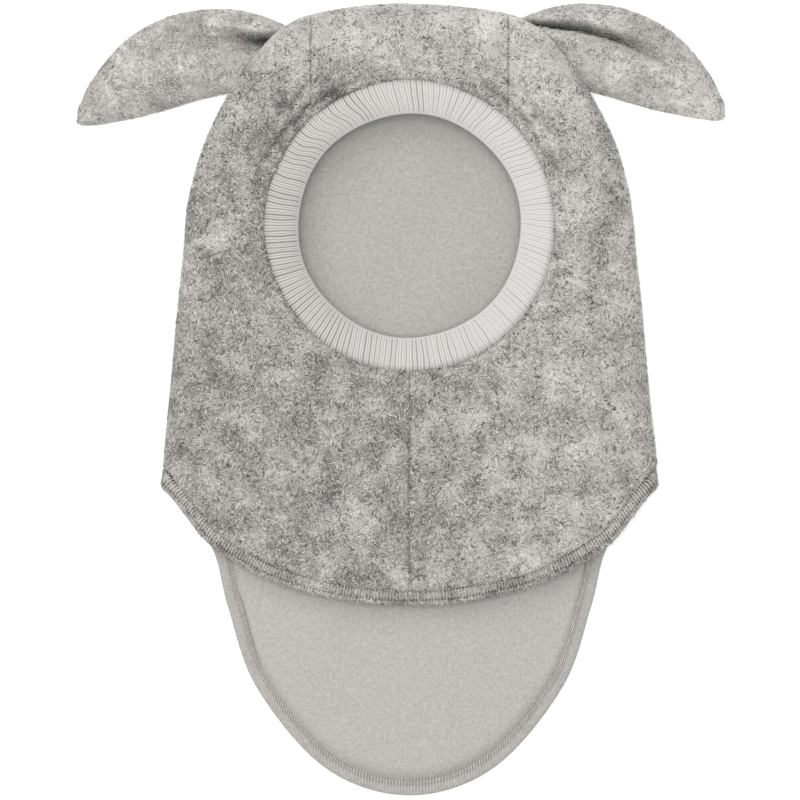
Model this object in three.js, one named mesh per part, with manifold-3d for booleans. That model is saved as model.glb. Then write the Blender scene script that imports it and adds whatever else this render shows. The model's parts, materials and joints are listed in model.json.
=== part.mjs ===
// A baby hood with two lop ears, laid on its back and softly filled.
// Millimetres. +X to the viewer's right, +Y towards the crown, +Z up from the floor.
// The origin lies on the floor under the middle of the face opening.
import * as THREE from 'three';
import { mergeVertices } from 'three/addons/utils/BufferGeometryUtils.js';
import Module from 'manifold-3d';

// Outline of the laid hood, measured from the middle of the face opening
const crownReach = 104.3;
const sideReach = 116.5;
const cornerDrop = 121;
const frontDrop = 177.6;
const backDrop = 268;

// Face opening and its ribbed band
const faceRadius = 52;
const bandWidth = 16;
const bandThickness = 5;
const bandProud = 1;
const ribDepth = 0.5;
const ribCount = 70;

// Seam to seam width of the crown strip
const crownWidth = 92;

// Height of the front cloth over the floor, and of the side fold's widest point
const foreheadHeight = 25;
const chinHeight = 18;
const crownPuff = 4;
const foldHeightTop = 13;
const foldHeightCorner = 8;
const foldRun = 17;
const frontFullness = 2;

// Cloth
const fleeceWall = 2.5;
const liningWall = 1;
const hemWidth = 7.5;
const hemProud = 0.6;
const hemGap = 0.5;
const pieceGap = 0.3;
const seamDip = 1.2;
const seamDipWidth = 5;

// Ears
const earLength = 99;
const earWidth = 42;
const earThickness = 6;
const earRootHeight = 14;
const earCreaseDepth = 9.5;
const earCreaseSpread = 0.28;
const earRootTurn = 36;
const earRootInset = 11;
const earDroop = 17;

// How fine the curves are sampled, and how small the steps are that slopes are read over
const curveSamples = 400;
const turnStep = 0.01;
const tiny = 1e-9;

const wasm = await Module();
wasm.setup();

const lerp = THREE.MathUtils.lerp;
const radians = THREE.MathUtils.degToRad;
const quarterTurn = Math.PI / 2;

// The side fold from the crown's top to below the hems, as shares of the named reaches.
// The hems are cut out of it, so its rows past the corner only guide the cloth's swell.
const foldTable = [
  { side: 0, rise: 1 },
  { side: 0.4, rise: 0.951 },
  { side: 0.6, rise: 0.797 },
  { side: 0.785, rise: 0.482 },
  { side: 0.882, rise: 0.167 },
  { side: 0.92, drop: 0.165 },
  { side: 0.968, drop: 0.633 },
  { side: 1, drop: 1 },
  { side: 1.01, drop: 1.4 },
  { side: 0.96, drop: 1.95 },
  { side: 0.6, drop: 2.55 },
  { side: 0, drop: 2.75 },
];

// Both hems from the side corner to the middle: side as a share of the hood's half width,
// fall as a share of the way down from the corner to the hem's lowest point
const frontHemTable = [
  { side: 1, fall: 0 },
  { side: 0.9, fall: 0.27 },
  { side: 0.79, fall: 0.52 },
  { side: 0.56, fall: 0.79 },
  { side: 0.28, fall: 0.95 },
  { side: 0, fall: 1 },
];
const backHemTable = [
  { side: 1, fall: 0 },
  { side: 0.88, fall: 0.11 },
  { side: 0.79, fall: 0.225 },
  { side: 0.734, fall: 0.4 },
  { side: 0.617, fall: 0.657 },
  { side: 0.339, fall: 0.913 },
  { side: 0, fall: 1 },
];

// One ear's stations from its root to its tip, as shares of its length, width and heights.
// The left and right columns say how far over the axis each ear's own crease lies.
const earTable = [
  { along: -0.1, upper: 0.36, lower: 0.36, height: 1, crease: 1, left: 0.2, right: 0.3 },
  { along: 0.05, upper: 0.6, lower: 0.3, height: 1, crease: 1, left: 0.28, right: 0.36 },
  { along: 0.2, upper: 0.76, lower: 0.2, height: 0.94, crease: 0.92, left: 0.45, right: 0.43 },
  { along: 0.4, upper: 0.84, lower: 0.16, height: 0.78, crease: 0.66, left: 0.6, right: 0.45 },
  { along: 0.6, upper: 0.78, lower: 0.155, height: 0.58, crease: 0.32, left: 0.6, right: 0.4 },
  { along: 0.75, upper: 0.62, lower: 0.135, height: 0.4, crease: 0.1, left: 0.5, right: 0.34 },
  { along: 0.88, upper: 0.4, lower: 0.1, height: 0.18, crease: 0, left: 0.3, right: 0.2 },
  { along: 0.96, upper: 0.2, lower: 0.055, height: 0.06, crease: 0, left: 0.1, right: 0.1 },
  { along: 1, upper: 0, lower: 0, height: 0, crease: 0, left: 0, right: 0 },
];

const materials = {
  fleece: new THREE.MeshStandardMaterial({ color: 0xa29f9a, roughness: 0.95, metalness: 0 }),
  jersey: new THREE.MeshStandardMaterial({ color: 0xc4c1bd, roughness: 0.9, metalness: 0 }),
  rib: new THREE.MeshStandardMaterial({ color: 0xcac7c3, roughness: 0.9, metalness: 0 }),
};

// Points of an outline with a neighbour mirrored past the middle plane, so that it crosses it level
function levelAcross(points) {
  const mirrored = (p) => new THREE.Vector2(-p.x, p.y);
  const before = points[0].x === 0 ? [mirrored(points[1])] : [];
  const after = points.at(-1).x === 0 ? [mirrored(points.at(-2))] : [];
  return [...before, ...points, ...after];
}

// Distance from the origin to a curve, for a turn counted from +Y, read off a fine sampling
function reachOf(points) {
  const curve = new THREE.SplineCurve(levelAcross(points));
  const samples = curve.getPoints(curveSamples).filter((p) => p.x > -tiny);
  const turns = samples.map((p) => Math.atan2(p.x, p.y));
  const reaches = samples.map((p) => p.length());
  return (turn) => {
    let next = turns.findIndex((t) => t >= turn);
    next = next < 0 ? turns.length - 1 : Math.max(next, 1);
    const share = (turn - turns[next - 1]) / (turns[next] - turns[next - 1]);
    return lerp(reaches[next - 1], reaches[next], THREE.MathUtils.clamp(share, 0, 1));
  };
}

const foldReach = reachOf(foldTable.map(({ side, rise, drop }) => (
  new THREE.Vector2(side * sideReach, drop === undefined ? rise * crownReach : -drop * cornerDrop)
)));
const hemReach = (table, lowest) => reachOf(table.map(({ side, fall }) => (
  new THREE.Vector2(side * sideReach, -lerp(cornerDrop, lowest, fall))
)));
const frontHemReach = hemReach(frontHemTable, frontDrop);
const backHemReach = hemReach(backHemTable, backDrop);
const cornerTurn = Math.atan2(sideReach, -cornerDrop);
const bandOuter = faceRadius + bandWidth;

// Length of an outline for each radian of turn
function stretch(reach, turn) {
  const slope = (reach(turn + turnStep) - reach(turn - turnStep)) / (2 * turnStep);
  return Math.hypot(reach(turn), slope);
}

// The hem's inner line crosses the fold one hem width above the corner. Slopes are read
// a little to either side of the corner, where the outline has a kink.
const beforeCorner = cornerTurn - 0.05;
const afterCorner = cornerTurn + 0.02;
const stitchTurn = cornerTurn - hemWidth / stretch(foldReach, beforeCorner);

// Outer face of the front cloth. The swell goes from 0 at the face band to a quarter turn at the fold.
function foldHeight(turn) {
  const level = THREE.MathUtils.smoothstep(Math.cos(turn), Math.cos(cornerTurn), 1);
  return lerp(foldHeightCorner, foldHeightTop, level);
}

function seamGroove(x, seamX) {
  return seamDip * Math.exp(-(((x - seamX) / seamDipWidth) ** 2));
}

function frontPoint(turn, swell) {
  const around = Math.abs(turn);
  const reach = lerp(bandOuter + pieceGap, foldReach(around), Math.sin(swell) ** (1 / frontFullness));
  const x = reach * Math.sin(turn);
  const y = reach * Math.cos(turn);
  const fold = foldHeight(around);
  const face = lerp(chinHeight, foreheadHeight, (1 + Math.cos(turn)) / 2);
  const puff = crownPuff * Math.max(Math.cos(turn), 0) ** 2 * Math.sin(2 * swell);
  const groove = y > 0 ? seamGroove(Math.abs(x), crownWidth / 2) : seamGroove(x, 0);
  const z = fold + (face - fold - groove) * Math.cos(swell) + puff;
  return new THREE.Vector3(x, y, z);
}

// Outer face of the back cloth: under 1 the curl is the rounded stretch from the fold to the floor,
// and from 1 to 2 it is the flat stretch from there to the middle
function backPoint(turn, curl) {
  const around = Math.abs(turn);
  const angle = Math.min(curl, 1) * quarterTurn;
  const flat = foldReach(around) - foldRun;
  const reach = curl < 1 ? flat + foldRun * Math.cos(angle) : flat * (2 - curl);
  const z = curl < 1 ? foldHeight(around) * (1 - Math.sin(angle)) : 0;
  return new THREE.Vector3(reach * Math.sin(turn), reach * Math.cos(turn), z);
}

// Outward unit normal of either face, by small steps taken inside its range
function normalAt(face, turn, along, from, to) {
  const step = 1e-3;
  const low = Math.max(along - step, from);
  const high = Math.min(along + step, to);
  const across = face(turn + step, along).sub(face(turn - step, along));
  const down = face(turn, high).sub(face(turn, low));
  return new THREE.Vector3().crossVectors(across, down).normalize();
}

// Swell or curl where a ray meets a line that lies a given way inside the hem's edge
const insetOf = (reach, turn, inset) => inset * stretch(reach, turn) / reach(turn);

function hemTaper(turn) {
  return THREE.MathUtils.clamp((turn - stitchTurn) / (cornerTurn - stitchTurn), 0, 1);
}

function frontSwell(turn, inset) {
  const around = Math.abs(turn);
  const hem = Math.max(around, afterCorner);
  const edge = around < cornerTurn ? foldReach(around) : frontHemReach(around);
  const reach = edge - hemTaper(around) * insetOf(frontHemReach, hem, inset);
  const start = bandOuter + pieceGap;
  const share = THREE.MathUtils.clamp((reach - start) / (foldReach(around) - start), 0, 1);
  return Math.asin(share ** frontFullness);
}

function backCurl(turn, inset) {
  const around = Math.abs(turn);
  const hem = Math.max(around, afterCorner);
  const edge = around < cornerTurn ? foldReach(around) : backHemReach(around);
  const reach = edge - hemTaper(around) * insetOf(backHemReach, hem, inset);
  const flat = foldReach(around) - foldRun;
  if (reach <= flat) return 2 - reach / flat;
  return Math.acos(THREE.MathUtils.clamp((reach - flat) / foldRun, 0, 1)) / quarterTurn;
}

// Turns of the rows on the right half: over the fold down to the stitch line, then to the middle
const foldRows = 22;
const hemRows = 12;
const cornerRow = 0.4;
const hemRowCrowding = 1.3;
const foldTurns = Array.from({ length: foldRows + 1 }, (_, k) => stitchTurn * (k + 0.5) / (foldRows + 0.5));
const hemTurns = [
  lerp(stitchTurn, cornerTurn, cornerRow),
  ...Array.from({ length: hemRows }, (_, k) => (
    lerp(cornerTurn, Math.PI, (k / (hemRows - 0.5)) ** hemRowCrowding)
  )),
];

// A closed mesh, from corner positions and triangles, with shared vertices merged
function meshGeometry(points, triangles) {
  const geometry = new THREE.BufferGeometry();
  geometry.setAttribute('position', new THREE.Float32BufferAttribute(points.flatMap((p) => p.toArray()), 3));
  geometry.setIndex(triangles.flat());
  return geometry;
}

// Cloth of a constant thickness on an open sheet: both faces, and a wall along every free edge
function thicken(sheet, above, below) {
  const count = sheet.points.length;
  const shifted = (offset) => sheet.points.map((p, i) => (
    p.clone().addScaledVector(sheet.normals[i], offset)
  ));
  const points = [...shifted(above), ...shifted(-below)];
  const edges = new Set(sheet.triangles.flatMap(([a, b, c]) => [`${a} ${b}`, `${b} ${c}`, `${c} ${a}`]));
  const walls = [...edges].map((edge) => edge.split(' ').map(Number))
    .filter(([a, b]) => !edges.has(`${b} ${a}`))
    .flatMap(([a, b]) => [[b, a, a + count], [b, a + count, b + count]]);
  const inner = sheet.triangles.map(([a, b, c]) => [c + count, b + count, a + count]);
  return meshGeometry(points, [...sheet.triangles, ...inner, ...walls]);
}

// An open sheet over rows and columns of points, its faces pointing along the normals
function emptySheet() {
  return { points: [], normals: [], triangles: [] };
}

function addPoint(sheet, face, turn, along, from, to) {
  sheet.points.push(face(turn, along));
  sheet.normals.push(normalAt(face, turn, along, from, to));
  return sheet.points.length - 1;
}

function addGrid(sheet, rows, looped) {
  const last = looped ? rows.length : rows.length - 1;
  for (let r = 0; r < last; r += 1) {
    const row = rows[r];
    const next = rows[(r + 1) % rows.length];
    for (let c = 0; c < row.length - 1; c += 1) {
      sheet.triangles.push([row[c], next[c + 1], row[c + 1]], [row[c], next[c], next[c + 1]]);
    }
  }
}

// The whole hood's cloth as one sheet, up to a line that lies inset from the hems
function hoodSheet(inset) {
  const frontColumns = 6;
  const curlColumns = 4;
  const pastTheCurl = 0.02;
  const innerRing = 0.8;
  const sheet = emptySheet();
  const right = [...foldTurns, ...hemTurns];
  const turns = [...right.map((turn) => -turn).reverse(), ...right];
  const front = turns.map((turn) => {
    const end = frontSwell(turn, inset);
    return Array.from({ length: frontColumns + 1 }, (_, c) => (
      addPoint(sheet, frontPoint, turn, end * c / frontColumns, 0, end)
    ));
  });
  const middle = sheet.points.length;
  sheet.points.push(new THREE.Vector3(0, -foldRun, 0));
  sheet.normals.push(new THREE.Vector3(0, 0, -1));
  const back = turns.map((turn, r) => {
    const start = backCurl(turn, inset);
    const onFold = Math.abs(turn) <= stitchTurn + tiny;
    const first = onFold ? front[r].at(-1) : addPoint(sheet, backPoint, turn, start, start, 2);
    const columns = [first];
    const curlEnd = Math.max(1, start + pastTheCurl);
    for (let c = 1; c <= curlColumns; c += 1) {
      columns.push(addPoint(sheet, backPoint, turn, lerp(start, curlEnd, c / curlColumns), start, 2));
    }
    columns.push(addPoint(sheet, backPoint, turn, lerp(curlEnd, 2, innerRing), start, 2));
    return columns;
  });
  addGrid(sheet, front, true);
  addGrid(sheet, back, true);
  back.forEach((row, r) => {
    sheet.triangles.push([row.at(-1), back[(r + 1) % back.length].at(-1), middle]);
  });
  return sheet;
}

const asSolid = (geometry) => {
  const merged = mergeVertices(geometry, 1e-4);
  return new wasm.Manifold(new wasm.Mesh({
    numProp: 3,
    vertProperties: merged.attributes.position.array,
    triVerts: new Uint32Array(merged.index.array),
  }));
};

const asGeometry = (solid) => {
  const mesh = solid.getMesh();
  const geometry = new THREE.BufferGeometry();
  geometry.setAttribute('position', new THREE.BufferAttribute(new Float32Array(mesh.vertProperties), 3));
  geometry.setIndex(new THREE.BufferAttribute(new Uint32Array(mesh.triVerts), 1));
  return geometry;
};

// A box between two corners, as a solid to cut with
function block(from, to) {
  const size = to.clone().sub(from);
  const box = new THREE.BoxGeometry(size.x, size.y, size.z);
  box.translate(...from.clone().add(to).multiplyScalar(0.5).toArray());
  box.deleteAttribute('normal');
  box.deleteAttribute('uv');
  return asSolid(box);
}

const object = new THREE.Group();

function addPiece(name, geometry, material) {
  const mesh = new THREE.Mesh(geometry, materials[material]);
  mesh.name = name;
  object.add(mesh);
}

// Fleece shell, cut at the crown seams and the centre front seam into its three panels
function addPanels() {
  const fleece = asSolid(thicken(hoodSheet(hemWidth + hemGap), 0, fleeceWall));
  const far = 2 * (backDrop + crownReach);
  const top = new THREE.Vector3(0, far, far);
  const layersBetween = fleeceWall + liningWall + pieceGap + hemProud;
  const strip = (half) => (
    block(new THREE.Vector3(-half, 0, -far), top.clone().setX(half))
      .add(block(new THREE.Vector3(-half, -far, -far), new THREE.Vector3(half, far, layersBetween)))
  );
  addPiece('crown_panel', asGeometry(fleece.intersect(strip(crownWidth / 2 - pieceGap / 2))), 'fleece');
  const sides = fleece.subtract(strip(crownWidth / 2 + pieceGap / 2));
  const half = (sign) => (sign > 0
    ? block(new THREE.Vector3(pieceGap / 2, -far, -far), top.clone().setX(far))
    : block(new THREE.Vector3(-far, -far, -far), top.clone().setX(-pieceGap / 2)));
  addPiece('side_panel_left', asGeometry(sides.intersect(half(-1))), 'fleece');
  addPiece('side_panel_right', asGeometry(sides.intersect(half(1))), 'fleece');
}

function addLining() {
  const outer = fleeceWall + pieceGap;
  const sheet = hoodSheet(hemWidth + hemGap);
  addPiece('lining', thicken(sheet, -outer, outer + liningWall), 'jersey');
}

// A hem band: the strip of one face between its stitch line and its edge, padded to both sides
function hemSheet(face, startOf, endOf) {
  const sheet = emptySheet();
  const columns = 2;
  const turns = [...hemTurns, ...hemTurns.map((turn) => 2 * Math.PI - turn).reverse()];
  const rows = turns.map((turn) => {
    const signed = turn > Math.PI ? turn - 2 * Math.PI : turn;
    const start = startOf(signed);
    const end = endOf(signed);
    return Array.from({ length: columns + 1 }, (_, c) => (
      addPoint(
        sheet, face, signed, lerp(start, end, c / columns), Math.min(start, end), Math.max(start, end),
      )
    ));
  });
  addGrid(sheet, rows, false);
  return sheet;
}

function addHems() {
  const layers = fleeceWall + pieceGap + liningWall;
  const front = hemSheet(frontPoint, (turn) => frontSwell(turn, hemWidth), (turn) => (
    Math.min(frontSwell(turn, 0), quarterTurn - pieceGap / foldHeightCorner)
  ));
  addPiece('hem_front', thicken(front, hemProud, layers + hemProud), 'fleece');
  const back = hemSheet(backPoint, (turn) => (
    Math.max(backCurl(turn, 0), pieceGap / foldHeightCorner)
  ), (turn) => backCurl(turn, hemWidth));
  addPiece('hem_back', thicken(back, 0, layers + 2 * hemProud), 'jersey');
}

// A solid through rings of equal point count: looped end to end, or closed with a fan at each end
function loft(rings, looped) {
  const count = rings[0].length;
  const points = rings.flat();
  const triangles = [];
  const last = looped ? rings.length : rings.length - 1;
  for (let r = 0; r < last; r += 1) {
    const row = r * count;
    const next = ((r + 1) % rings.length) * count;
    for (let c = 0; c < count; c += 1) {
      const d = (c + 1) % count;
      triangles.push([row + c, next + d, next + c], [row + c, row + d, next + d]);
    }
  }
  if (!looped) {
    const end = (rings.length - 1) * count;
    for (let c = 1; c < count - 1; c += 1) {
      triangles.push([0, c + 1, c], [end, end + c, end + c + 1]);
    }
  }
  return meshGeometry(points, triangles);
}

// The face band: a flattened ring that follows the front cloth's edge, ribbed on its upper face
function addFaceBand() {
  const sectionPoints = 8;
  const squarenessAcross = 0.6;
  const squarenessUp = 0.8;
  const samples = 2 * ribCount;
  const middle = faceRadius + bandWidth / 2;
  const rings = Array.from({ length: samples }, (_, k) => {
    const turn = k / samples * 2 * Math.PI;
    const rib = k % 2 === 0 ? ribDepth / 2 : -ribDepth / 2;
    const cloth = lerp(chinHeight, foreheadHeight, (1 + Math.cos(turn)) / 2);
    return Array.from({ length: sectionPoints }, (_, p) => {
      const angle = (p + 0.5) / sectionPoints * 2 * Math.PI;
      const across = Math.sign(Math.cos(angle)) * Math.abs(Math.cos(angle)) ** squarenessAcross;
      const up = Math.sign(Math.sin(angle)) * Math.abs(Math.sin(angle)) ** squarenessUp;
      const reach = middle + across * bandWidth / 2;
      const thickness = bandThickness + (up > 0 ? rib : 0);
      const z = cloth + bandProud - bandThickness / 2 + up * thickness / 2;
      return new THREE.Vector3(reach * Math.sin(turn), reach * Math.cos(turn), z);
    });
  });
  addPiece('face_band', loft(rings, true), 'rib');
}

// A lop ear: a padded leaf that lies beside the crown, creased lengthwise from its root.
// Its root is cut to the hood's outside, so it butts on the fold behind the crown's corner.
function addEars() {
  const hood = asSolid(thicken(hoodSheet(0), pieceGap, foldHeightTop / 2));
  const column = (name) => (
    new THREE.SplineCurve(earTable.map((row) => new THREE.Vector2(row.along, row[name])))
  );
  const read = (name, t) => column(name).getPoint(t);
  const stations = 15;
  const across = 9;
  const lastStation = 0.995;
  for (const [name, sign] of [['ear_left', -1], ['ear_right', 1]]) {
    const droop = radians(earDroop);
    const axis = new THREE.Vector3(sign * Math.cos(droop), -Math.sin(droop), 0);
    const side = new THREE.Vector3(sign * Math.sin(droop), Math.cos(droop), 0);
    const rootReach = foldReach(radians(earRootTurn)) - earRootInset;
    const root = new THREE.Vector3(
      sign * rootReach * Math.sin(radians(earRootTurn)), rootReach * Math.cos(radians(earRootTurn)), 0,
    );
    const rings = Array.from({ length: stations }, (_, s) => {
      const t = Math.min(s / (stations - 1), lastStation);
      const along = read('upper', t).x;
      const upper = read('upper', t).y * earWidth;
      const lower = read('lower', t).y * earWidth;
      const rise = earThickness + read('height', t).y * (earRootHeight - earThickness);
      const crease = read('crease', t).y * Math.min(earCreaseDepth, rise - fleeceWall);
      const middle = (upper - lower) / 2;
      const half = (upper + lower) / 2;
      const valley = (read(sign < 0 ? 'left' : 'right', t).y * earWidth - middle) / half;
      const point = (c, z) => root.clone().addScaledVector(axis, along * earLength)
        .addScaledVector(side, middle + c * half).setZ(z);
      const shares = Array.from({ length: across }, (_, c) => -Math.cos(Math.PI * c / (across - 1)));
      const roundness = (c) => Math.sqrt(Math.max(1 - c * c, 0));
      const edge = earThickness / 3;
      const sunk = (c) => crease * Math.exp(-(((c - valley) / earCreaseSpread) ** 2));
      const top = shares.map((c) => point(c, edge + (rise - edge - sunk(c)) * roundness(c)));
      const under = shares.slice(1, -1).reverse().map((c) => point(c, edge * (1 - roundness(c))));
      const ring = [...top, ...under];
      return sign > 0 ? ring.reverse() : ring;
    });
    const cut = asSolid(loft(rings, false)).subtract(hood).decompose();
    const outside = cut.reduce((best, body) => (body.volume() > best.volume() ? body : best));
    addPiece(name, asGeometry(outside), 'fleece');
  }
}

addPanels();
addLining();
addHems();
addFaceBand();
addEars();

export default object;
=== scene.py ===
# %% [markdown]
# # A grey fleece baby hood with two lop ears
# The hood lies on its back, softly filled, seen straight from above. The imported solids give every
# place and size. Here they are dressed: panels of brushed melange fleece, a light jersey lining, a
# ribbed knit band round the face, turned and stitched hems, and the short wool nap over it all.

# %% The frame
import json

import bpy
import numpy as np
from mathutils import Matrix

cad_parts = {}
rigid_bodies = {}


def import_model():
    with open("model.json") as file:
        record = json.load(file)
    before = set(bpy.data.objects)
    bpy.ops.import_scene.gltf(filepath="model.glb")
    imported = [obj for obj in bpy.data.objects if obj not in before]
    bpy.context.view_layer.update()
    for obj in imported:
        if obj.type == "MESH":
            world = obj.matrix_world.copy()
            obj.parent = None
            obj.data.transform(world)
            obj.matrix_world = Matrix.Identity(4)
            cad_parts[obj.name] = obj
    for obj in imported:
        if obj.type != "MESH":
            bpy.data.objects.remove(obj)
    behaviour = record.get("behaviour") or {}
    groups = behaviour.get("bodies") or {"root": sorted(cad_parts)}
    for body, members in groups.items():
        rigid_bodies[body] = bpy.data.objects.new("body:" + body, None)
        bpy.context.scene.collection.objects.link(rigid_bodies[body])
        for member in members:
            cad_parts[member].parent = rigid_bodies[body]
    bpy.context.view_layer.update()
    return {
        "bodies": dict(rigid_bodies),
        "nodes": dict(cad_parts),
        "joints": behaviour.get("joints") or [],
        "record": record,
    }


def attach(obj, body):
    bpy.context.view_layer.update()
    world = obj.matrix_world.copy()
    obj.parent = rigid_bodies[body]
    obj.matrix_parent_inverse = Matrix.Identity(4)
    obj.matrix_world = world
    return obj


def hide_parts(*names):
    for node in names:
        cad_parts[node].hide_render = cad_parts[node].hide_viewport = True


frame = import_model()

print("packed nodes:", ", ".join(sorted(frame["nodes"])))

# %% [markdown]
# The hood's shape is worked out in millimetres, from the same driving sizes as the solids, and
# turned to metres once, when a mesh is filled. All of these were measured on the laid hood from
# the middle of its face opening.

# %% Sizes of the laid hood
MM = 0.001
crown_reach = 104.3
side_reach = 116.5
corner_drop = 121.0
front_drop = 177.6
back_drop = 268.0
face_radius = 52.0
band_width = 16.0
band_thickness = 5.0
band_proud = 1.0
crown_width = 92.0
forehead_height = 25.0
chin_height = 18.0
crown_puff = 4.0
fold_height_top = 13.0
fold_height_corner = 8.0
fold_run = 17.0
fleece_wall = 2.5
lining_wall = 1.0
hem_width = 7.5
piece_gap = 0.3
seam_dip = 1.2
seam_dip_width = 5.0
band_outer = face_radius + band_width
half_strip = crown_width / 2
rng = np.random.default_rng(7)
print("face opening", 2 * face_radius, "mm across, hood", 2 * side_reach, "mm across its corners")

# %% [markdown]
# **Outlines.** A tailor would draw each edge of the hood with a French curve through a few marks.
# A Catmull-Rom spline does the same: it passes through every mark, with a tangent taken from its
# two neighbours. Each outline is then read as a reach from the middle of the face for a turn
# counted from the crown, which makes the hood's plan a simple polar map.

# %% Outline curves
def bell(away, width):
    """A bell curve: 1 at no distance, about a third at one width, next to nothing at two."""
    return np.exp(-((away / width) ** 2))


def smooth_curve(marks, per_span=60):
    """Catmull-Rom through the marks: on each span, the cubic with both end points and, as its end
    slopes, half the chord between the neighbouring marks."""
    p = np.array(marks, float)
    padded = np.vstack([p[:1], p, p[-1:]])
    t = np.linspace(0, 1, per_span, endpoint=False)[None, :, None]
    p0, p1, p2, p3 = (padded[k:len(padded) - 3 + k, None, :] for k in range(4))
    v1, v2 = (p2 - p0) / 2, (p3 - p1) / 2
    cubic = (2 * p1 - 2 * p2 + v1 + v2) * t**3 + (3 * p2 - 3 * p1 - 2 * v1 - v2) * t**2 + v1 * t + p1
    return np.vstack([cubic.reshape(-1, 2), p[-1:]])


def reach_curve(marks):
    """The reach of a smooth curve from the origin, as a function of the turn from +Y. Where the
    curve meets the middle plane, the next mark is mirrored past it, so that it crosses it level."""
    first, last = [(-x, y) for x, y in (marks[1], marks[-2])]
    curve = smooth_curve([first] * (marks[0][0] == 0) + list(marks) + [last] * (marks[-1][0] == 0))
    curve = curve[curve[:, 0] > -1e-9]
    turns, reaches = np.arctan2(curve[:, 0], curve[:, 1]), np.hypot(curve[:, 0], curve[:, 1])
    return lambda turn: np.interp(np.abs(turn), turns, reaches)


# Marks as shares of the side reach and of the reach up to the crown or down to the side corner
fold_marks = [(0, 1), (0.4, 0.951), (0.6, 0.797), (0.785, 0.482), (0.882, 0.167)]
fold_marks_below = [
    (0.92, 0.165), (0.968, 0.633), (1, 1), (1.01, 1.4), (0.96, 1.95), (0.6, 2.55), (0, 2.75),
]
front_hem_marks = [(1, 0), (0.9, 0.27), (0.79, 0.52), (0.56, 0.79), (0.28, 0.95), (0, 1)]
back_hem_marks = [
    (1, 0), (0.88, 0.11), (0.79, 0.225), (0.734, 0.4), (0.617, 0.657), (0.339, 0.913), (0, 1),
]

fold_reach = reach_curve(
    [(side_reach * s, crown_reach * r) for s, r in fold_marks]
    + [(side_reach * s, -corner_drop * d) for s, d in fold_marks_below]
)
front_hem_reach = reach_curve(
    [(side_reach * s, -corner_drop - (front_drop - corner_drop) * f) for s, f in front_hem_marks]
)
back_hem_reach = reach_curve(
    [(side_reach * s, -corner_drop - (back_drop - corner_drop) * f) for s, f in back_hem_marks]
)
corner_turn = np.arctan2(side_reach, -corner_drop)


def stretch(reach, turn):
    """Length of an outline for each radian of turn: the root of reach squared plus slope squared."""
    step = 0.01
    slope = (reach(turn + step) - reach(turn - step)) / (2 * step)
    return np.hypot(reach(turn), slope)


# A hem starts on the fold, its own width above the side corner
above_corner = corner_turn - 0.05
stitch_turn = corner_turn - hem_width / stretch(fold_reach, above_corner)
print("side corner at", round(float(np.degrees(corner_turn)), 1), "degrees from the crown")

# %% [markdown]
# **Heights.** The front cloth swells from the side fold to the face band as a quarter of a
# rounded box, and the back cloth curls under from the fold and then lies flat on the floor. Both
# are heights over the floor plan, so that any panel can be cut out of them by its own outline.

# %% Height of the front and the back cloth
def fold_height(turn):
    """Widest point of the side fold: a smooth step from the corner's height to the crown's."""
    level = (np.cos(turn) - np.cos(corner_turn)) / (1 - np.cos(corner_turn))
    level = np.clip(level, 0, 1)
    level = level * level * (3 - 2 * level)
    return fold_height_corner + (fold_height_top - fold_height_corner) * level


def face_height(turn):
    """Outer cloth at the face band, highest at the forehead."""
    return chin_height + (forehead_height - chin_height) * (1 + np.cos(turn)) / 2


def front_height(x, y):
    """Fold height plus the rest times the cosine of the swell, whose sine is the square of the
    share of the way from the face band to the fold. The crown is puffed, and seams dip."""
    turn, reach = np.arctan2(x, y), np.hypot(x, y)
    start = band_outer + piece_gap
    share = np.clip((reach - start) / (fold_reach(turn) - start), 0, 1)
    sine = share**2
    cosine = np.sqrt(1 - sine**2)
    puff = crown_puff * np.maximum(np.cos(turn), 0) ** 2 * 2 * sine * cosine
    seam = np.where(y > 0, np.abs(x) - half_strip, x)
    groove = seam_dip * bell(seam, seam_dip_width)
    fold = fold_height(turn)
    return fold + (face_height(turn) - fold - groove) * cosine + puff


def back_height(x, y):
    """Quarter ellipse from the fold's widest point down to the floor, and flat from there in."""
    turn, reach = np.arctan2(x, y), np.hypot(x, y)
    cosine = np.clip(1 - (fold_reach(turn) - reach) / fold_run, 0, 1)
    return fold_height(turn) * (1 - np.sqrt(1 - cosine**2))


print("front cloth over the chin:", round(float(front_height(0.0, -80.0)), 1), "mm up")

# %% [markdown]
# **Cloth as a closed shell.** A sheet is a grid of points. Its wall is made by moving a copy of
# the grid inwards along the normals and closing every free edge, which Solidify would also do,
# but worked out here the two faces keep the exact wall that the solids have.

# %% Meshes from arrays
def unit(vectors):
    """Vectors scaled to length one."""
    return vectors / np.maximum(np.linalg.norm(vectors, axis=-1, keepdims=True), 1e-9)


def crossed_diagonals(points, quads):
    """The cross product of each quad's diagonals: its normal, as long as twice its area."""
    corners = points[quads]
    return np.cross(corners[:, 2] - corners[:, 0], corners[:, 3] - corners[:, 1])


def point_normals(points, quads):
    """Unit normals at the points: the sum of the crossed diagonals of the quads round each."""
    total = np.zeros_like(points)
    for corner in range(4):
        np.add.at(total, quads[:, corner], crossed_diagonals(points, quads))
    return unit(total)


def quads_of(index):
    """The quads between the neighbours in a grid of point numbers."""
    corners = [index[:-1, :-1], index[1:, :-1], index[1:, 1:], index[:-1, 1:]]
    return np.stack(corners, axis=-1).reshape(-1, 4)


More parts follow.
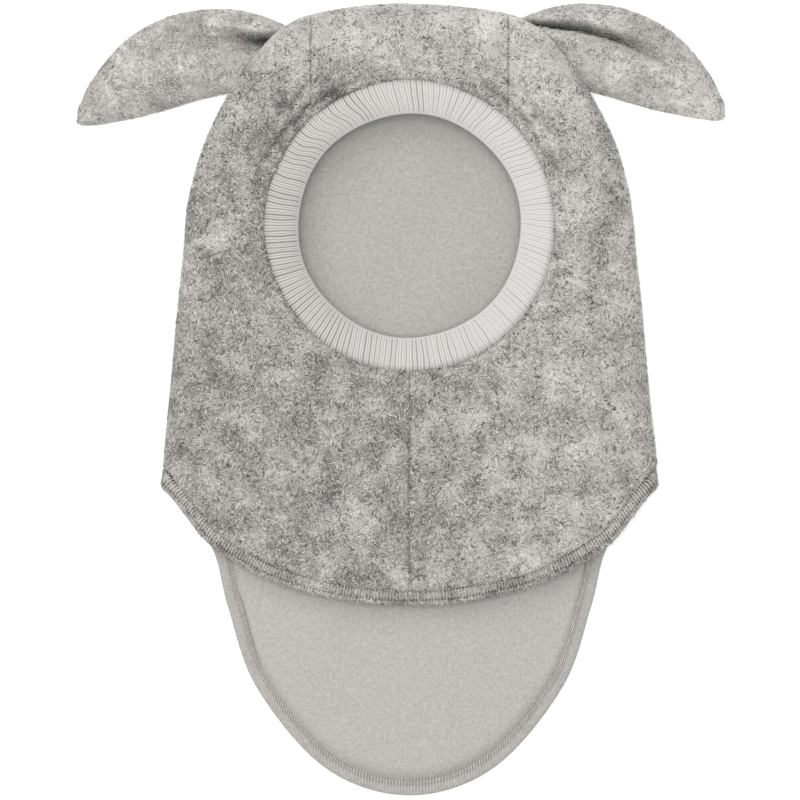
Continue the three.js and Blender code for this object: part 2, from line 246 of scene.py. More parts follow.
def closed_cloth(points, quads, wall, drop=0.0):
    """Both faces of a sheet of that wall, its outer face dropped below the points, and a rim of
    quads on every edge that only one quad uses."""
    count, normals = len(points), point_normals(points, quads)
    both = np.vstack([points - drop * normals, points - (drop + wall) * normals])
    edges = np.concatenate([quads[:, [k, (k + 1) % 4]] for k in range(4)])
    forward, reverse = edges[:, 0] * count + edges[:, 1], edges[:, 1] * count + edges[:, 0]
    free = edges[~np.isin(forward, reverse)]
    rim = np.stack([free[:, 1], free[:, 0], free[:, 0] + count, free[:, 1] + count], axis=1)
    return both, np.vstack([quads, quads[:, ::-1] + count, rim])


def add_piece(name, points, faces, material, slot, values=None):
    """A smooth mesh object at the origin, riding on the root, with optional point values."""
    mesh = bpy.data.meshes.new(name)
    corners = faces.shape[1]
    mesh.vertices.add(len(points))
    mesh.vertices.foreach_set("co", (points * MM).astype(np.float32).ravel())
    mesh.loops.add(faces.size)
    mesh.loops.foreach_set("vertex_index", faces.astype(np.int32).ravel())
    mesh.polygons.add(len(faces))
    mesh.polygons.foreach_set("loop_start", np.arange(0, faces.size, corners, dtype=np.int32))
    mesh.polygons.foreach_set("use_smooth", np.ones(len(faces), bool))
    for key, value in (values or {}).items():
        mesh.attributes.new(key, "FLOAT", "POINT").data.foreach_set("value", value.astype(np.float32))
    mesh.update(calc_edges=True)
    mesh.materials.append(material)
    piece = bpy.data.objects.new(name, mesh)
    bpy.context.scene.collection.objects.link(piece)
    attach(piece, "root")
    return piece


# %% [markdown]
# ** Colours and nodes.** Colours are written as sRGB hex values and turned to linear light once.
# One helper adds a shader node with its settings and its links.

# %% Colour and node helpers
def linear(hex_colour):
    """sRGB hex to linear RGBA, by the standard curve."""
    srgb = np.array([int(hex_colour[k:k + 2], 16) for k in (1, 3, 5)]) / 255
    light = np.where(srgb <= 0.04045, srgb / 12.92, ((srgb + 0.055) / 1.055) ** 2.4)
    return (*light.tolist(), 1.0)


def add_node(tree, kind, inputs=None, stops=None, **settings):
    """A node with its settings, and inputs given by name or index: a value, or an output to link.
    Stops are the positions and hex colours of a colour ramp."""
    node = tree.nodes.new(kind)
    for key, value in settings.items():
        setattr(node, key, value)
    for key, value in (inputs or {}).items():
        if isinstance(value, bpy.types.NodeSocket):
            tree.links.new(value, node.inputs[key])
        else:
            node.inputs[key].default_value = value
    if stops:
        elements = node.color_ramp.elements
        while len(elements) < len(stops):
            elements.new(0.5)
        for element, (position, colour) in zip(elements, stops):
            element.position = position
            element.color = linear(colour)
    return node


def new_material(name):
    """An empty node material, with its tree, its shader and the object's own coordinates."""
    material = bpy.data.materials.new(name)
    material.use_nodes = True
    tree = material.node_tree
    tree.nodes.clear()
    shader = add_node(tree, "ShaderNodeBsdfPrincipled")
    add_node(tree, "ShaderNodeOutputMaterial", {"Surface": shader.outputs["BSDF"]})
    place = add_node(tree, "ShaderNodeTexCoord").outputs["Object"]
    return material, tree, shader, place


def mixed_in(tree, base, *shares):
    """Adds sources to a base, each times its share. A source is an output, or the name of a value
    that the mesh keeps at its points."""
    for source, share in shares:
        if isinstance(source, str):
            source = add_node(tree, "ShaderNodeAttribute", attribute_name=source).outputs["Fac"]
        inputs = {0: source, 1: share, 2: base}
        base = add_node(tree, "ShaderNodeMath", inputs, operation="MULTIPLY_ADD").outputs[0]
    return base


def finish_cloth(tree, shader, colour, look, **bump):
    """Links a cloth's colour and bump to its shader, and sets how rough, glossy and downy it is."""
    tree.links.new(colour.outputs["Color"], shader.inputs["Base Color"])
    for name, value in zip(("Roughness", "Specular IOR Level", "Sheen Weight"), look):
        shader.inputs[name].default_value = value
    if bump:
        tree.links.new(add_node(tree, "ShaderNodeBump", bump).outputs["Normal"], shader.inputs["Normal"])


# %% [markdown]
# **Brushed melange fleece.** Melange yarn is spun from light and dark wool together, and brushing
# pulls both up into a short nap, so the cloth shows specks about a millimetre long in swirls,
# with soft cloudy patches a centimetre or two wide. It is matt, and its fibre ends catch light at
# the edges, which is what sheen stands for.

# %% Fleece material
def per_metre(size_mm):
    """Texture scale whose features are about that many millimetres across."""
    return 1000.0 / size_mm


def fleece_material():
    """Specks, strands and clouds of two wool greys, with a bump of the same specks."""
    material, tree, shader, place = new_material("melange_wool_fleece_brushed")
    swirl = add_node(tree, "ShaderNodeTexNoise", {"Vector": place, "Scale": per_metre(14), "Detail": 2.0})
    swirl_reach = (3.5 * MM, 3.5 * MM, 3.5 * MM)
    bend = add_node(
        tree, "ShaderNodeVectorMath", {0: swirl.outputs["Color"], 1: swirl_reach}, operation="MULTIPLY"
    )
    bent = add_node(tree, "ShaderNodeVectorMath", {0: place, 1: bend.outputs[0]}, operation="ADD")
    # Single fibres are far too fine to show, so a speck of them is drawn 1.15 mm long
    speck = add_node(
        tree, "ShaderNodeTexNoise",
        {"Vector": bent.outputs[0], "Scale": per_metre(1.15), "Detail": 2.0, "Roughness": 0.7,
         "Distortion": 2.2},
    ).outputs["Fac"]
    cloud = add_node(
        tree, "ShaderNodeTexNoise", {"Vector": place, "Scale": per_metre(16), "Detail": 3.0, "Roughness": 0.6}
    ).outputs["Fac"]
    # Painted shade where the groove value is high, and painted light where the pale value is high.
    mixed = mixed_in(tree, speck, (cloud, 0.55), ("groove", -0.4), ("painted_light", 0.11))
    spread = add_node(tree, "ShaderNodeMapRange", {"Value": mixed, "From Min": 0.5, "From Max": 1.02})
    colour = add_node(
        tree, "ShaderNodeValToRGB", {"Fac": spread.outputs[0]},
        stops=[(0.0, "#3b3936"), (0.3, "#73706c"), (0.55, "#a09d99"), (1.0, "#dddad5")],
    )
    finish_cloth(tree, shader, colour, (0.95, 0.15, 0.35), Strength=0.5, Distance=0.6 * MM, Height=speck)
    shader.inputs["Sheen Roughness"].default_value = 0.45
    shader.inputs["Sheen Tint"].default_value = linear("#f3f0eb")
    return material


fleece = fleece_material()

# %% [markdown]
# ** Lining jersey and rib knit.** The lining is a fine single jersey: its knit columns, the wales,
# run up the hood about 0.75 mm apart and show as the faintest stripes. They are drawn 1.5 mm apart,
# because the real ones are finer than two pixels. The band's rib knit is the same light yarn; its
# ribs are modelled, and the material only adds the loops along them and darkens the grooves with
# painted shade.

# %% Jersey and rib materials
# The wave texture repeats every 0.314 m at a scale of 1, so this scale repeats every 1.5 mm
wale_scale = per_metre(0.75) / 6.4


def jersey_material():
    """Fine stripes along Y with a soft noise, in one light grey, with painted shade where the point value
    groove is high.
    """
    material, tree, shader, place = new_material("cotton_jersey_single_knit")
    wales = add_node(
        tree, "ShaderNodeTexWave",
        {"Vector": place, "Scale": wale_scale, "Distortion": 2.5, "Detail": 2.0,
         "Detail Scale": 3.0}, bands_direction="X",
    ).outputs["Fac"]
    # Single loops are too small to show, so their unevenness is drawn 1.4 mm wide
    grain = add_node(
        tree, "ShaderNodeTexNoise",
        {"Vector": place, "Scale": per_metre(1.4), "Detail": 3.0, "Roughness": 0.8, "Distortion": 0.5},
    ).outputs["Fac"]
    mixed = mixed_in(tree, grain, (wales, 0.08), ("groove", -0.5))
    colour = add_node(
        tree, "ShaderNodeValToRGB", {"Fac": mixed},
        stops=[(0.0, "#8b8783"), (0.3, "#a29f9b"), (0.78, "#c3c0bc")],
    )
    finish_cloth(tree, shader, colour, (0.85, 0.2, 0.15), Strength=0.25, Distance=0.2 * MM, Height=mixed)
    return material


def rib_material():
    """Light yarn with painted shade where the point value groove is high, and a haze of loops as its bump."""
    material, tree, shader, place = new_material("rib_knit_one_by_one")
    groove = add_node(tree, "ShaderNodeAttribute", attribute_name="groove").outputs["Fac"]
    haze = add_node(
        tree, "ShaderNodeTexNoise",
        {"Vector": place, "Scale": per_metre(1.0), "Detail": 3.0, "Roughness": 0.7},
    ).outputs["Fac"]
    colour = add_node(
        tree, "ShaderNodeValToRGB", {"Fac": mixed_in(tree, groove, (haze, 0.25))},
        stops=[(0.05, "#dddad8"), (0.3, "#c7c4c1"), (0.75, "#a09c98"), (1.0, "#827e7a")],
    )
    finish_cloth(tree, shader, colour, (0.85, 0.2, 0.2), Strength=0.3, Distance=0.2 * MM, Height=haze)
    return material


def yarn_material(name, dark, light):
    """Plain yarn or fibre between two greys, by the point value tone."""
    material, tree, shader, _ = new_material(name)
    tone = add_node(tree, "ShaderNodeAttribute", attribute_name="tone").outputs["Fac"]
    colour = add_node(tree, "ShaderNodeValToRGB", {"Fac": tone}, stops=[(0.0, dark), (1.0, light)])
    finish_cloth(tree, shader, colour, (0.9, 0.15, 0.3))
    return material


jersey = jersey_material()
rib_knit = rib_material()
wool_nap = yarn_material("wool_fibre_ends", "#393634", "#dddad5")
sewing_thread = yarn_material("spun_polyester_thread", "#7d7a76", "#e4e1dc")
print("materials:", [m.name for m in bpy.data.materials])

# %% [markdown]
# **Panels.** The hood is sewn from a strip over the crown and two sides. Each is cut out of the
# two heights by ruled lines between its inner and its outer edge, closer together where the cloth
# turns over the fold. The relief is what sewing does to soft cloth: it rolls in at the seams,
# puckers beside them, ripples a little round the gathered band, and lies in faint soft waves.

# %% Relief of the fleece
def wave_field(count, wave_length):
    """A soft field over the plan: the mean of sine waves of about that length in millimetres, in
    random directions, scaled to run from about -1 to 1."""
    angle = rng.uniform(0, np.pi, count)
    pitch = 2 * np.pi / (wave_length * rng.uniform(0.6, 1.7, count))
    phase = rng.uniform(0, 2 * np.pi, count)

    def field(x, y):
        waves = zip(angle, pitch, phase)
        total = sum(np.sin(x * p * np.cos(a) + y * p * np.sin(a) + shift) for a, p, shift in waves)
        return 1.6 * total / np.sqrt(count) / 1.5

    return field


soft_waves = wave_field(7, 46.0)
small_waves = wave_field(11, 17.0)


def seam_roll(distance, along, depth=0.8):
    """Cloth beside a seam: it rolls in within a millimetre, stands slightly proud behind, and
    puckers with a period of about six millimetres that dies out away from the seam."""
    roll = -depth * np.exp(-distance / 0.7)
    proud = 0.3 * bell(distance - 2.8, 2.2)
    pucker = 0.2 * np.sin(along * 2 * np.pi / 6.3 + 1.5 * np.sin(along / 9)) * np.exp(-distance / 4)
    return roll + proud + pucker


def band_ripples(x, y):
    """Two valleys and a ridge that run beside the band over each shoulder, bent by small waves."""
    turn, reach = np.arctan2(x, y), np.hypot(x, y)
    from_band = reach - band_outer
    shoulder = bell(np.degrees(np.abs(turn)) - 42, 22) * np.where(x < 0, 1, 0.7)
    bend = 1.6 * np.sin(4 * turn + 1) + 1.2 * small_waves(x, y)
    valleys = 1.7 * bell(from_band - 6.0 - bend, 1.4) + 1.4 * bell(from_band - 14.0 - 1.5 * bend, 1.5)
    return shoulder * (0.9 * bell(from_band - 10.0 - bend, 2.4) - valleys)


def front_relief(x, y):
    """Waves, seams, the seam to the band and the ripples beside it where the band gathers."""
    turn, reach = np.arctan2(x, y), np.hypot(x, y)
    from_band = np.maximum(reach - band_outer - piece_gap, 0)
    seam = np.where(y > 0, np.abs(np.abs(x) - half_strip), np.abs(x))
    seam_depth = np.where(x > 0.3 * half_strip, 0.6, 0.4)
    lying = 0.7 * soft_waves(x, y) + 0.22 * small_waves(x, y) + band_ripples(x, y)
    return lying + seam_roll(seam, y, seam_depth) + seam_roll(from_band, turn * band_outer, 1.0)


def back_relief(x, y):
    """Only the seams: the back lies flat on the floor, so nothing there stands out."""
    return np.minimum(seam_roll(np.abs(np.abs(x) - half_strip), y), 0)


# %% Cutting a panel
def ease_to_fold(count, ease):
    """Shares from 0 to 1: even where ease is 0, and where it is 1 crowding towards the end."""
    even = np.linspace(0, 1, count)[None, :]
    return (1 - ease) * even + ease * even * (2 - even)


def fold_ease(turn, fade=0.2):
    """1 where the cloth turns over the fold, down to 0 a little past the start of the hems."""
    return np.clip(1 - (turn - stitch_turn) / fade, 0, 1)[:, None]


def ruled(inner, outer, shares):
    """Points on straight lines from inner to outer, at the shares given for each line."""
    return inner[:, None, :] + (outer - inner)[:, None, :] * shares[:, :, None]


def lifted(plan, height):
    """Plan points with a height function as their third coordinate."""
    return np.concatenate([plan, height(plan[..., 0], plan[..., 1])[..., None]], axis=-1)


def polar(reach, turn):
    """Plan points at a reach and a turn from +Y."""
    return np.stack([reach * np.sin(turn), reach * np.cos(turn)], axis=-1)


def only_used(points, quad_lists):
    """All the quads, and the points that they use, numbered anew."""
    used, quads = np.unique(np.vstack(quad_lists), return_inverse=True)
    return points[used], quads.reshape(-1, 4)


def panel_surface(front_plan, back_plan, on_fold):
    """Joins a front and a back grid with as many rows into one sheet. Rows on the fold share
    their edge point; the others, at the hems, keep one edge on each side."""
    rows, front_columns = front_plan.shape[:2]
    back_columns = back_plan.shape[1]
    front = lifted(front_plan, front_height).reshape(-1, 3)
    back = lifted(back_plan, back_height).reshape(-1, 3)
    front_index = np.arange(rows * front_columns).reshape(rows, front_columns)
    back_index = len(front) + np.arange(rows * back_columns).reshape(rows, back_columns)
    back_index[on_fold, 0] = front_index[on_fold, -1]
    return only_used(np.vstack([front, back]), [quads_of(front_index), quads_of(back_index)])


def with_relief(points, quads):
    """Moves a sheet's points along its normals by the relief of the face that they are on."""
    normals = point_normals(points, quads)
    x, y, z = points.T
    # Cloth on the floor can't sink in, so there a seam lifts it instead
    off_floor = z > 0.5
    facing = np.clip(normals[:, 2] * 2, -1, 1)
    relief = np.where(facing > 0, front_relief(x, y) * facing, back_relief(x, y) * -facing)
    moved = points + normals * (relief * off_floor)[:, None]
    moved[:, 2] += np.where((facing < 0) & ~off_floor, np.maximum(-relief, 0), 0)
    return moved


# %% The three fleece panels
def edge_reach(reach, turn):
    """The hood's own edge: the side fold down to the corner, and the hem's curve past it."""
    return np.where(turn < corner_turn, fold_reach(turn), reach(turn))


def stitch_reach(reach, turn, inset):
    """The panel's edge: the fold down to the stitch line, then the hem's inner line."""
    taper = np.clip((turn - stitch_turn) / (corner_turn - stitch_turn), 0, 1)
    hem = np.maximum(turn, corner_turn + 0.02)
    return edge_reach(reach, turn) - taper * inset * stretch(reach, hem) / reach(hem)


# How far the panels reach under the hems and the band, and how wide they gape at a seam
hem_overlap = 0.9
band_overlap = 0.3
seam_gap = 0.05
panel_inset = hem_width - hem_overlap
fine_turns = np.linspace(0, np.pi, 2000)

seam_x = half_strip + seam_gap / 2
crown_half = fold_reach(fine_turns) * np.sin(fine_turns)
top_turn = float(fine_turns[np.argmax(crown_half >= seam_x)])
panel_inner = band_outer - band_overlap
band_turn = float(np.arcsin(seam_x / panel_inner))
back_edge = polar(stitch_reach(back_hem_reach, fine_turns, panel_inset), fine_turns)
below = fine_turns > corner_turn
bib_turn = float(np.interp(-seam_x, -back_edge[below, 0], fine_turns[below]))


def side_panel_plans(rows=176, front_columns=54, back_columns=32):
    """Rows from the crown seam round the fold to the centre seam. On the back the same rows run
    from the outline in to the back seam, which is met lower and lower down."""
    turns = np.linspace(0, 1, rows)
    front_turn = top_turn + (np.pi - top_turn) * turns
    front_turn[np.argmin(np.abs(front_turn - stitch_turn))] = stitch_turn
    inner_turn = np.interp(front_turn, [top_turn, 1.9, np.pi], [band_turn, 1.9, np.pi])
    inner = polar(panel_inner, inner_turn)
    outer = polar(stitch_reach(front_hem_reach, front_turn, panel_inset), front_turn)
    inner[:, 0] = np.maximum(inner[:, 0], seam_gap / 2)
    outer[:, 0] = np.maximum(outer[:, 0], seam_gap / 2)
    on_fold = front_turn <= stitch_turn + 1e-9
    ease = fold_ease(front_turn)
    front = ruled(inner, outer, ease_to_fold(front_columns, ease))
    past = (front_turn - stitch_turn) / (np.pi - stitch_turn)
    back_turn = np.where(on_fold, front_turn, stitch_turn + (bib_turn - stitch_turn) * past)
    back_outer = polar(stitch_reach(back_hem_reach, back_turn, panel_inset), back_turn)
    # A row slants: it meets the back seam up to 40 mm lower than it starts, less further down
    from_top = back_turn - top_turn
    drop = 40 * (1 - np.clip(from_top / 2.0, 0, 1)) * np.clip(1 - from_top / 2.4, 0, 1)
    seam_y = back_outer[:, 1] - drop
    back_inner = np.stack([np.full(rows, seam_x), np.minimum.accumulate(seam_y)], axis=-1)
    back = ruled(back_outer, back_inner, 1 - ease_to_fold(back_columns, ease)[:, ::-1])
    return front, back, on_fold


def crown_panel_plans(rows=70, front_columns=38, curl_columns=24, back_columns=120):
    """Rows across the strip. Each runs from the band over the top fold and down to the bib's hem."""
    x = np.linspace(-half_strip + seam_gap / 2, half_strip - seam_gap / 2, rows)
    curve = polar(fold_reach(fine_turns), fine_turns)
    top = curve[fine_turns < 1.2]
    inner = np.stack([x, np.sqrt(panel_inner**2 - x**2)], axis=-1)
    outer = np.stack([x, np.interp(np.abs(x), top[:, 0], top[:, 1])], axis=-1)
    bib = back_edge[below][::-1]
    lower = np.stack([x, np.interp(np.abs(x), bib[:, 0], bib[:, 1])], axis=-1)
    front = ruled(inner, outer, ease_to_fold(front_columns, np.ones((rows, 1))))
    curl = (fold_run / (outer[:, 1] - lower[:, 1]))[:, None]
    angles = np.linspace(0, np.pi / 2, curl_columns)
    flat = np.linspace(0, 1, back_columns)[1:]
    shares = np.hstack([curl * (1 - np.cos(angles)), curl + (1 - curl) * flat])
    return front, ruled(outer, lower, shares), np.ones(rows, bool)


def crown_painted_light(points):
    """Painted light, from 0 at the level of the brow to 1 over the crown; the right side is lighter by up to
    a half more.
    """
    return np.clip((points[:, 1] - 60) / 25, 0, 1) + 0.5 * np.clip(points[:, 0] / 60, 0, 1)


def ripple_shade(points):
    """Painted shade in the valleys beside the band, on the front only."""
    valleys = np.maximum(-band_ripples(points[:, 0], points[:, 1]), 0)
    return 0.32 * valleys * (points[:, 2] > fold_height_top)


fleece_sheets = {}
for name, plans, mirror in (
    ("side_panel_right", side_panel_plans(), False),
    ("side_panel_left", side_panel_plans(), True),
    ("crown_panel", crown_panel_plans(), False),
):
    points, quads = panel_surface(*plans)
    if mirror:
        points, quads = points * np.array([-1.0, 1.0, 1.0]), quads[:, ::-1]
    points = with_relief(points, quads)
    fleece_sheets[name] = (points, quads, ripple_shade(points), crown_painted_light(points))
    shell, faces = closed_cloth(points, quads, fleece_wall)
    # Point values: painted shade in the ripple valleys and painted light over the crown.
    values = {"groove": ripple_shade(shell), "painted_light": crown_painted_light(shell)}
    piece = add_piece(name + "_fleece", shell, faces, fleece, "fleece", values)
    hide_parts(name)
    print(name, len(piece.data.polygons), "faces")

# %% [markdown]
# **Jersey lining.** The lining is cut like the hood and lies inside it, a whole shell that shows
# behind the face opening and on the bib. It could be the panels' grid again, but that grid has a
# seam where the lining shows most. Rings round a disc of squares have no seam and no pole, so the
# light jersey stays smooth behind the face.

# %% The lining
def disc_of_squares(count, radius, bow=0.3):
    """A square grid with its sides bowed out: across times the root of 1 - bow times up squared,
    and the same for up. A bow of 0.5 would be a full disc, whose corner squares have no width."""
    line = np.linspace(-1, 1, count)
    across, up = np.meshgrid(line, line[::-1])
    disc = radius * np.stack(
        [across * np.sqrt(1 - bow * up**2), up * np.sqrt(1 - bow * across**2)], axis=-1
    )
    index = np.arange(count * count).reshape(count, count)
    rim = np.concatenate([index[0, :-1], index[:-1, -1], index[-1, :0:-1], index[:0:-1, 0]])
    return disc.reshape(-1, 2), index, rim


def lining_surface(count=60, front_columns=24, back_columns=30, core=40.0):
    """Front rings, back rings that share the fold with them, and the disc that closes the back."""
    disc, squares, rim = disc_of_squares(count, core)
    turn = np.arctan2(disc[rim, 0], disc[rim, 1])
    for side in (-1, 1):
        turn[np.argmin(np.abs(turn - side * stitch_turn))] = side * stitch_turn
    around = np.abs(turn)
    on_fold = around <= stitch_turn + 1e-9
    ease = fold_ease(around)
    inner = polar(np.full(len(turn), band_outer + piece_gap), turn)
    front_outer = polar(stitch_reach(front_hem_reach, around, panel_inset), turn)
    back_outer = polar(stitch_reach(back_hem_reach, around, panel_inset), turn)
    front = ruled(inner, front_outer, ease_to_fold(front_columns, ease))
    back = ruled(back_outer, disc[rim], 1 - ease_to_fold(back_columns, ease)[:, ::-1])[:, :-1]
    rows = len(turn)
    front_index = np.arange(rows * front_columns).reshape(rows, front_columns)
    back_index = front_index.size + np.arange(rows * (back_columns - 1)).reshape(rows, -1)
    disc_start = front_index.size + back_index.size
    back_index = np.hstack([back_index, disc_start + rim[:, None]])
    back_index[on_fold, 0] = front_index[on_fold, -1]
    loops = [quads_of(np.vstack([index, index[:1]])) for index in (front_index, back_index)]
    points = np.vstack([
        lifted(front, front_height).reshape(-1, 3),
        lifted(back, back_height).reshape(-1, 3),
        lifted(disc, back_height),
    ])
    return only_used(points, [*loops, quads_of(squares.T + disc_start)])


lining_points, lining_quads = lining_surface()
# Where it lies nearly flat, the lining rises and falls by half a millimetre
near_floor = np.clip(1 - lining_points[:, 2] / 3, 0, 1)
lining_points[:, 2] += near_floor * (0.5 + 0.5 * soft_waves(lining_points[:, 0], lining_points[:, 1]))
lining_shell, lining_faces = closed_cloth(lining_points, lining_quads, lining_wall, fleece_wall + piece_gap)
# Painted shade: a touch darker inside the hood than on the bib.
painted_hood_shade = 0.2 * np.clip((150 + lining_shell[:, 1]) / 30, 0, 1)
lining = add_piece("jersey_lining", lining_shell, lining_faces, jersey, "jersey", {"groove": painted_hood_shade})
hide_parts("lining")
print("lining:", len(lining.data.polygons), "faces")

# %% [markdown]
# **Closed tubes.** The face band, the hems and the ears are each one closed section carried along
# a path. An open end is closed by quads from one side of the section to the other, so that no
# pole is left.

# %% Tubes
def tube_quads(stations, around, looped=False):
    """Quads of a tube whose sections have an even number of points, closed at both ends."""
    index = np.arange(stations * around).reshape(stations, around)
    wide = np.hstack([index, index[:, :1]])
    if looped:
        wide = np.vstack([wide, wide[:1]])
    walls = quads_of(wide)
    if looped:
        return walls
    near = np.arange(around // 2 - 1)
    cap = np.stack([near, near + 1, around - 2 - near, around - 1 - near], axis=1)
    return np.vstack([walls, index[0, cap], index[-1, cap[:, ::-1]]])


def facing_out(points, faces):
    """Turns the faces over where the volume that they enclose, in fans of triangles, is negative."""
    corners = points[faces]
    fans = [
        np.einsum("ij,ij->", np.cross(corners[:, 0], corners[:, k]), corners[:, k + 1])
        for k in range(1, faces.shape[1] - 1)
    ]
    return faces if sum(fans) > 0 else faces[:, ::-1]


def power_circle(count, across_power, up_power):
    """Points round a superellipse: cosine and sine raised to powers, with their signs kept."""
    angle = (np.arange(count) + 0.5) / count * 2 * np.pi
    cosine, sine = np.cos(angle), np.sin(angle)
    return (
        np.sign(cosine) * np.abs(cosine) ** across_power,
        np.sign(sine) * np.abs(sine) ** up_power,
    )


# %% [markdown]
# **Face band.** The band is a doubled strip of one by one rib knit, stretched round the opening
# with its fold to the inside. Each rib is a rounded ridge between two narrow grooves, with a fine
# line down its middle, where the two legs of its knit stitches meet. Sewing pulls the ribs out of
# the radius, so they lean and bend differently round the ring, most at the upper left. They are
# modelled, since they catch the light, and die out towards the smooth fold.

# %% The face band
rib_count = 150
rib_height = 0.42
rib_offset = rng.normal(0, 0.07, rib_count)
rib_depth = rng.uniform(0.7, 1.1, rib_count)
rib_wave = rng.normal(0, 0.05, rib_count)


def face_band(per_rib=8, around=46):
    """Ring of superellipse sections dished towards the face. The ribs are the root of a cosine's
    size, so that the ridges are wide and the grooves narrow. Each line of the grid is turned by
    the sway, so that it follows its own rib."""
    turn = (np.arange(rib_count * per_rib) / (rib_count * per_rib) * 2 * np.pi)[:, None]
    across, up = (v[None, :] for v in power_circle(around, 0.75, 0.85))
    outward = (1 + across) / 2
    lean = 0.9 * np.sin(2 * turn + 0.6) + 0.5 * np.sin(5 * turn + 2.0) + 0.25 * np.sin(11 * turn)
    upper_left = bell(turn - np.radians(318), 0.42)
    upper_right = bell(turn - np.radians(48), 0.4)
    bend = np.tanh((outward - 0.42) * 3.5)
    sway = lean * (outward - 0.5) + (1.7 * upper_left - 1.0 * upper_right) * bend
    phase = turn * rib_count / 2
    place = turn * rib_count / (2 * np.pi)
    ridge = 1 - rib_depth[place.astype(int) % rib_count] * (1 - np.abs(np.cos(phase)) ** 0.5)
    middle_groove = bell(np.sin(phase), 0.3)
    fade = np.clip((outward - 0.01) / 0.08, 0, 1) * (up > -0.4)
    relief = rib_height * (ridge - 1 - 0.5 * middle_groove) * fade
    sway = sway + np.interp(place - 0.5, np.arange(rib_count), rib_offset)
    sway = sway + np.interp(place - 0.5, np.arange(rib_count), rib_wave) * np.sin(7 * outward + 1)
    turn = turn - sway * 2 * np.pi / rib_count
    uneven = 0.35 * np.sin(3 * turn + 1) + 0.2 * np.sin(7 * turn)
    reach = face_radius + band_width * outward + 0.25 * np.sin(6 * turn + 0.5) * (1 - outward)
    dish = -1.6 * (1 - outward) ** 1.5 - 0.9 * np.clip((outward - 0.86) / 0.14, 0, 1)
    half = band_thickness / 2
    z = face_height(turn) + band_proud - half + up * (half + np.where(up > 0, 0.6 * relief, 0)) + dish
    z = z + relief * 0.5 + uneven * 0.4
    points = np.stack([reach * np.sin(turn), reach * np.cos(turn), z], axis=-1).reshape(-1, 3)
    # Painted shade in the grooves and along the middle of each rib, from under half strength at the right of
    # the band to full at the left, with a little more shade over the left side.
    from_left = (1 - np.sin(turn)) / 2
    strength = 0.45 + 0.55 * from_left
    groove = strength * (1.15 * (1 - ridge) ** 1.3 + 0.62 * middle_groove) * fade + 0.1 * from_left**2
    quads = tube_quads(len(turn), around, looped=True)
    return points, facing_out(points, quads), np.broadcast_to(groove, z.shape).ravel()


band_points, band_quads, band_painted_shade = face_band()
band = add_piece("rib_knit_band", band_points, band_quads, rib_knit, "rib_knit", {"groove": band_painted_shade})
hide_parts("face_band")
print("face band:", rib_count, "ribs,", len(band.data.polygons), "faces")

# %% [markdown]
# **Hems.** Each hem is the cloth's edge turned in and overlocked, a soft flat roll. Its section is
# a flattened circle between the stitch line and the edge. It narrows to nothing where the stitch
# line runs over the side fold. Fine ridges across it are the overlock stitches pulling the cloth.

# %% The two hems
hem_thickness = 5.0
overlock_pitch = 1.5
# Length of a hem from its start on the fold to the side corner
corner_run = hem_width


def hem_lines(reach, height, step):
    """Edge and stitch line of a hem at equal steps, from the right fold round to the left one."""
    fine = np.linspace(stitch_turn + 0.004, 2 * np.pi - stitch_turn - 0.004, 4000)
    plan = polar(edge_reach(reach, np.minimum(fine, 2 * np.pi - fine)), fine)
    length = np.concatenate([[0], np.cumsum(np.linalg.norm(np.diff(plan, axis=0), axis=1))])
    run = np.arange(0, length[-1], step)
    turn = np.interp(run, length, fine)
    folded = np.minimum(turn, 2 * np.pi - turn)
    edge = edge_reach(reach, folded)
    inner = stitch_reach(reach, folded, hem_width)
    return lifted(polar(edge, turn), height), lifted(polar(inner, turn), height), run


def hem_frame(edge, stitch, run, sink):
    """Centre, half width and half thickness vectors of the roll at each step. The thickness lies
    along the cloth's normal, the centre is moved along it by sink, and both shrink where the two
    lines come together over the fold. The roll is fuller at the side corners."""
    across_axis = edge - stitch
    width = np.linalg.norm(across_axis, axis=1, keepdims=True)
    across_axis = unit(across_axis)
    up_axis = unit(np.cross(unit(np.gradient(edge, axis=0)), across_axis))
    up_axis = up_axis * np.sign(up_axis[:, 2:3])
    thin = np.sqrt(np.clip(width / hem_width, 0.02, 1))
    corner = bell(run - corner_run, 5.0) + bell(run[-1] - run - corner_run, 5.0)
    centre = (edge + stitch) / 2 + sink * up_axis * thin + 1.5 * across_axis * corner[:, None]
    swell = 1 + 0.05 * np.sin(run / 7.0) + 0.04 * np.sin(run / 3.1 + 1) + 0.2 * corner
    return centre, across_axis * width / 2, up_axis * thin * hem_thickness / 2 * swell[:, None]


def hem_roll(frame, run, holes_at, powers, lines, around=30):
    """A superellipse round the frame with fine ridges across it, a shallow channel along each row
    of needle holes, and the groove value, painted shade in the holes and, by lines, between ridges."""
    centre, wide, thick = (v[:, None, :] for v in frame)
    across, up = (v[None, :] for v in power_circle(around, *powers))
    stitch = np.abs(np.sin(np.pi * run / overlock_pitch))[:, None]
    channel = sum(bell(across - at, 0.13) for at in holes_at) * (up > 0)
    half = 1 + 0.07 * (stitch - 0.6) - 0.12 * channel * (1.2 - stitch)
    points = centre + wide * across[..., None] + thick * (up * half)[..., None]
    # Painted shade in the needle holes and, by lines, between the ridges.
    groove = channel * (1.5 - 1.4 * stitch) + lines * (1 - stitch) ** 2 * (up > 0)
    shape = points.shape[:2]
    points = points.reshape(-1, 3)
    return points, facing_out(points, tube_quads(*shape)), groove.ravel()


*front_lines, front_run = hem_lines(front_hem_reach, front_height, 0.36)
*bib_lines, bib_run = hem_lines(back_hem_reach, back_height, 0.38)
front_frame = hem_frame(*front_lines, front_run, sink=-1.9)
bib_frame = hem_frame(*bib_lines, bib_run, sink=hem_thickness / 2)
